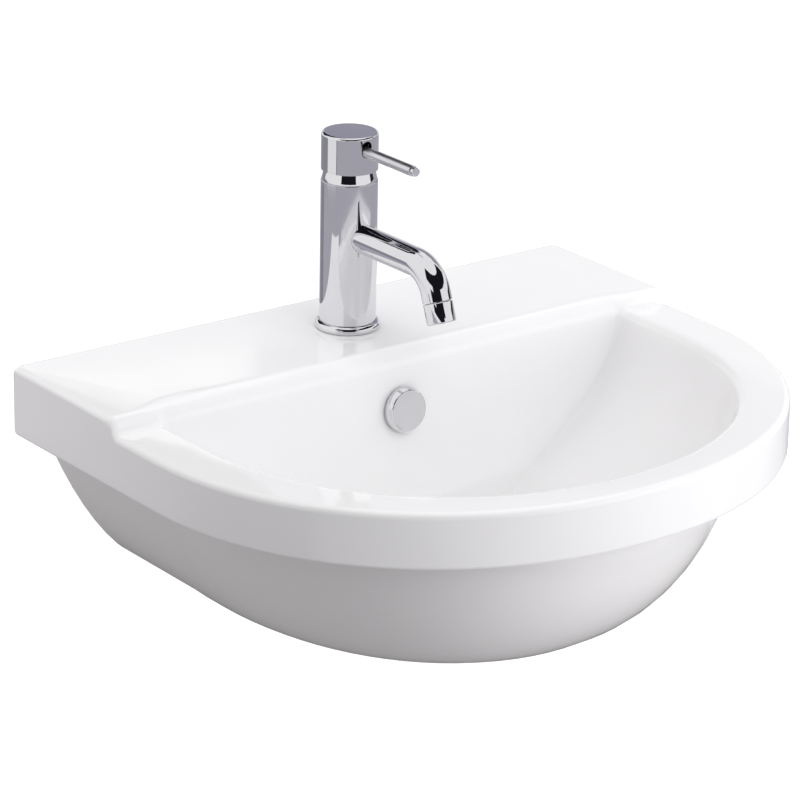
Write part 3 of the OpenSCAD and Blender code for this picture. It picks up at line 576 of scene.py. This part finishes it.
# Pairs of a height and the share of the half width that is left there
wall_lean = [
    (-0.0450, 0.500),
    (-0.0440, 0.530),
    (-0.0410, 0.620),
    (-0.0360, 0.646),
    (-0.0288, 0.650),
    (-0.0201, 0.675),
    (-0.0099, 0.728),
    (0.0017, 0.797),
    (0.0143, 0.839),
    (0.0276, 0.872),
    (0.0414, 0.895),
    (0.0551, 0.914),
    (0.0681, 0.930),
    (0.0790, 0.945),
    (0.0840, 0.955),
    (0.0960, 0.955),
]
# Pairs of a distance from the wall before and after the step is drawn together
step_shift = [
    (0.105, 0.105),
    (0.113, 0.118),
    (0.119, 0.127),
    (0.1255, 0.1308),
    (0.1318, 0.1336),
    (0.138, 0.138),
]


def between(table, value):
    """Reads a value between the lines of a table of pairs; None outside the table."""
    for (a0, b0), (a1, b1) in zip(table, table[1:]):
        if a0 <= value <= a1:
            return b0 + (b1 - b0) * (value - a0) / (a1 - a0)
    return None


def limited(value):
    return min(1, max(0, value))


def soft_step(value):
    value = limited(value)
    return value * value * (3 - 2 * value)


bowl_middle = Vector((0, -0.238))
bowl_back = 0.128
bowl_floor = -0.0449
lip_foot = 0.078  # above this height the lip's outline decides
lip_half = 0.2253
lip_start = 0.1860
lip_reach = 0.2073
lip_power = 2.09
lip_fade = 0.085  # of the outline's size
lip_back = 0.114
back_fade = 0.012
still_half, drawn_span = 0.02, 0.08  # |x| where the drawing in starts, and how soon it is full
step_foot = 0.03
step_half, step_span = 0.205, 0.035
moved = 0
for corner in china.data.vertices:
    x, y, z = corner.co
    inwards = corner.normal.xy.dot(bowl_middle - corner.co.xy) + 0.1 * corner.normal.z
    if z > lip_foot:
        ahead = max(0, -y - lip_start) / lip_reach
        ring = ((abs(x) / lip_half) ** lip_power + ahead**lip_power) ** (1 / lip_power)
        part = limited((1 + lip_fade - ring) / lip_fade) * limited((-y - lip_back) / back_fade)
    else:
        part = 1 if y < -bowl_back and z > bowl_floor and inwards > 0 else 0
    if part > 0:
        gone = part * (1 - between(wall_lean, z))
        gone *= soft_step((abs(x) - still_half) / drawn_span)
        corner.co.x = x * (1 - gone)
        moved += 1
    row = between(step_shift, -y)
    if z > step_foot and row:
        corner.co.y += (-row - y) * soft_step((abs(x) - step_half) / step_span)
print("bowl corners moved:", moved)
bpy.ops.object.shade_smooth_by_angle(angle=math.radians(32))
bpy.ops.object.modifier_add(type="WEIGHTED_NORMAL")
china.modifiers[-1].keep_sharp = True
china.modifiers[-1].weight = 60
bpy.ops.object.modifier_apply(modifier=china.modifiers[-1].name)
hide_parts("basin")
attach(china, "basin")
print("china skin:", len(china.data.vertices), "corners", len(china.data.polygons), "faces")

# %% [markdown]
# Turned pieces are made as a turner makes them. A circle is placed at the foot of the
# profile, and for each next point of the profile its edge loop is extruded upwards and
# scaled to the new radius. Where the profile comes back to its start, the first and last
# loops lie on each other and are merged, so the ring is a closed solid. A knob has no hole:
# its first and last loops are each extruded once more and merged at their centre. A small
# bevel then breaks the sharp corners, which is what catches the light on a machined part.


# %% Turning helper
def turned(name, profile, bevel, sides=128, closed=True):
    """A ring (closed) or knob from (radius, height) points; sharp corners get the bevel."""
    bpy.ops.object.select_all(action="DESELECT")
    bpy.ops.mesh.primitive_circle_add(
        vertices=sides, radius=profile[0][0], location=(0, 0, profile[0][1])
    )
    piece = bpy.context.object
    piece.name = name
    bpy.ops.object.transform_apply(location=True, rotation=True, scale=True)
    bpy.ops.object.mode_set(mode="EDIT")
    bpy.ops.mesh.select_all(action="SELECT")
    if not closed:
        bpy.ops.mesh.extrude_region_move()
        bpy.ops.mesh.merge(type="CENTER")
        bpy.ops.mesh.select_all(action="DESELECT")
        bpy.ops.object.mode_set(mode="OBJECT")
        for corner in piece.data.vertices:
            corner.select = abs(corner.co.xy.length - profile[0][0]) < 1e-6
        bpy.ops.object.mode_set(mode="EDIT")
    ends = profile[1:] + profile[:1] if closed else profile[1:]
    for (r0, z0), (r1, z1) in zip(profile, ends):
        bpy.ops.mesh.extrude_region_move(TRANSFORM_OT_translate={"value": (0, 0, z1 - z0)})
        if abs(r1 - r0) > 1e-9:
            bpy.ops.transform.resize(
                value=(r1 / r0, r1 / r0, 1), center_override=(0, 0, z1)
            )
    if not closed:
        bpy.ops.mesh.extrude_region_move()
        bpy.ops.mesh.merge(type="CENTER")
    bpy.ops.mesh.select_all(action="SELECT")
    bpy.ops.mesh.remove_doubles(threshold=0.000002)
    bpy.ops.mesh.normals_make_consistent(inside=False)
    bpy.ops.object.mode_set(mode="OBJECT")
    if bevel:
        bpy.ops.object.modifier_add(type="BEVEL")
        rounding = piece.modifiers[-1]
        rounding.width = bevel
        rounding.segments = 3
        rounding.limit_method = "ANGLE"
        rounding.angle_limit = math.radians(28)
        bpy.ops.object.modifier_apply(modifier=rounding.name)
    bpy.ops.object.shade_smooth_by_angle(angle=math.radians(30))
    return piece


def put(piece, place, tilt=(0, 0, 0)):
    """Moves a piece made at the origin to its seat and applies that to its mesh."""
    bpy.ops.object.select_all(action="DESELECT")
    piece.select_set(True)
    bpy.context.view_layer.objects.active = piece
    piece.location = place
    piece.rotation_euler = tilt
    bpy.ops.object.transform_apply(location=True, rotation=True, scale=True)
    return piece


def settle(piece, kind, body, *stands_for):
    """Gives a piece its finish in one slot, hides the CAD nodes it stands for and hangs it on its
    body.
    """
    piece.data.materials.clear()
    piece.data.materials.append(finishes[kind])
    if stands_for:
        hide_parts(*stands_for)
    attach(piece, body)
    print(piece.name, len(piece.data.polygons), "faces on", body)
    return piece


# %% [markdown]
# Between the handle and the column sits a narrow ring, set back a little. In the photograph
# it is nearly white with one black patch, while the column above and below it is grey. A
# straight ring would mirror the same things as the column, so the real one has to lean: it
# widens downwards, and looks up over the basin's rim. Its foot is as wide as the column's
# inner edge, and its top fits under the handle.

# %% Neck ring
neck_low, neck_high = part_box("neck_ring")
seat_gap = 0.0001  # keeps a turned ring off the piece below it
neck_profile = [
    (0.0170, neck_low.z + seat_gap),
    (0.0206, neck_low.z + seat_gap),
    (0.0206, neck_low.z + 0.0004),
    (0.0199, neck_low.z + 0.0028),
    (0.0191, neck_high.z - 0.0004),
    (0.0190, neck_high.z),
    (0.0126, neck_high.z),
    (0.0126, neck_high.z - 0.0014),
    (0.0170, neck_high.z - 0.0014),
]
neck = put(turned("neck_ring_turned", neck_profile, bevel=0.00015), (0, tap_y, 0))
settle(neck, "chrome", "basin", "neck_ring")

# %% [markdown]
# The ring at the tap's foot is a soft bead that hides its gasket: on the photograph its lower
# edge fades into the china, with no dark line. So it is turned with a lip that comes down
# just outside the rubber and ends a fifth of a millimetre above the shelf.

# %% Base ring
foot_low, foot_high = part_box("base_ring")
foot_r = (foot_high.x - foot_low.x) / 2
shelf_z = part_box("base_gasket")[0].z
foot_profile = [
    (foot_r - 0.0011, shelf_z + 0.0002),
    (foot_r - 0.0003, shelf_z + 0.0002),
    (foot_r + 0.0002, shelf_z + 0.0008),
    (foot_r + 0.0004, shelf_z + 0.0018),
    (foot_r + 0.0004, shelf_z + 0.0028),
    (foot_r + 0.0001, shelf_z + 0.0040),
    (foot_r - 0.0006, shelf_z + 0.0051),
    (foot_r - 0.0015, shelf_z + 0.0058),
    (foot_r - 0.0024, foot_high.z),
    (0.0212, foot_high.z),
    (0.0211, foot_low.z + 0.0016),
    (0.0179, foot_low.z + 0.0016),
    (0.0179, foot_low.z),
    (foot_r - 0.0011, foot_low.z + seat_gap),
]
foot = put(turned("base_ring_turned", foot_profile, bevel=0.0), (0, tap_y, 0))
settle(foot, "chrome", "basin", "base_ring")

# %% [markdown]
# The aerator closes the spout's end. On the photograph a fine dark line separates it from
# the tube, and its rim is rolled inwards. Its axis is the tube's last direction, which
# leans 21 degrees from upright, so it is turned on Z first and then tilted to its seat.

# %% Aerator shell
outlet = (0, -0.17342, 0.14472)
lean = (math.radians(-21), 0, 0)
aerator_profile = [
    (0.0079, -0.0158),
    (0.0083, -0.0160),
    (0.0102, -0.0160),
    (0.0107, -0.0155),
    (0.0108, -0.0149),
    (0.0108, -0.0012),
    (0.01045, -0.0007),
    (0.00960, -0.0006),
    (0.00922, -0.0004),
    (0.00922, 0.0045),
    (0.0079, 0.0045),
]
aerator = put(turned("aerator_shell", aerator_profile, bevel=0.00012), outlet, lean)
settle(aerator, "chrome", "basin", "aerator_housing")

# %% [markdown]
# The overflow cap is a shallow cup on a stem. In the photograph a wide bright crescent lies
# between its face and its side: a steep chamfer, which looks up past the dark room. It is
# turned with its face at height zero, from the stem's end over the cup's inside to the rim
# and the face, and then stood against the bowl's back wall, which leans by six degrees.

# %% Overflow cap
cap_face = (0, -0.143293, 0.051993)
cap_tilt = (math.radians(90 - 6.332), 0, 0)
cap_profile = [
    (0.0040, -0.0170),
    (0.0040, -0.0016),
    (0.0155, -0.0016),
    (0.0155, -0.0070),
    (0.0170, -0.0070),
    (0.0170, -0.0048),
    (0.0167, -0.0040),
    (0.0154, -0.0006),
    (0.0151, -0.0002),
    (0.0147, 0.0),
    (0.0143, 0.0),
]
cap = turned("overflow_disc", cap_profile, bevel=0.0003, closed=False)
settle(put(cap, cap_face, cap_tilt), "chrome", "basin", "overflow_cap")

# %% [markdown]
# The spring under the plug is pressed together when the plug goes down, and a rigid coil would
# run into the plug's dome there. It is wound anew as a mesh of its own. A small
# circle, the wire's section, is stood upright at the coil's radius, and a Screw modifier
# winds it upwards once for each turn. The open ends are then capped.

# %% Plug spring
coil_low, coil_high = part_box("click_spring")
wire_r = 0.0006
coil_turns = 6
coil_r = (coil_high.x - coil_low.x) / 2 - wire_r
coil_h = coil_high.z - coil_low.z
bpy.ops.object.select_all(action="DESELECT")
bpy.ops.mesh.primitive_circle_add(
    vertices=12, radius=wire_r, location=(coil_r, 0, wire_r), rotation=(math.radians(90), 0, 0)
)
coil = bpy.context.object
coil.name = "plug_coil"
bpy.ops.object.transform_apply(location=True, rotation=True, scale=True)
bpy.ops.object.modifier_add(type="SCREW")
winding = coil.modifiers[-1]
winding.axis = "Z"
winding.angle = 2 * math.pi
winding.screw_offset = (coil_h - 2 * wire_r) / coil_turns
winding.iterations = coil_turns
winding.steps = 32
winding.use_merge_vertices = False
bpy.ops.object.modifier_apply(modifier=winding.name)
bpy.ops.object.mode_set(mode="EDIT")
bpy.ops.mesh.select_all(action="SELECT")
bpy.ops.mesh.remove_doubles(threshold=0.000002)
bpy.ops.mesh.fill_holes(sides=0)
bpy.ops.mesh.select_all(action="SELECT")
bpy.ops.mesh.normals_make_consistent(inside=False)
bpy.ops.object.mode_set(mode="OBJECT")
bpy.ops.object.shade_smooth_by_angle(angle=math.radians(40))
coil_foot = (0, (coil_low.y + coil_high.y) / 2, coil_low.z)
put(coil, coil_foot)
settle(coil, "steel", "basin", "click_spring")
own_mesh(coil)
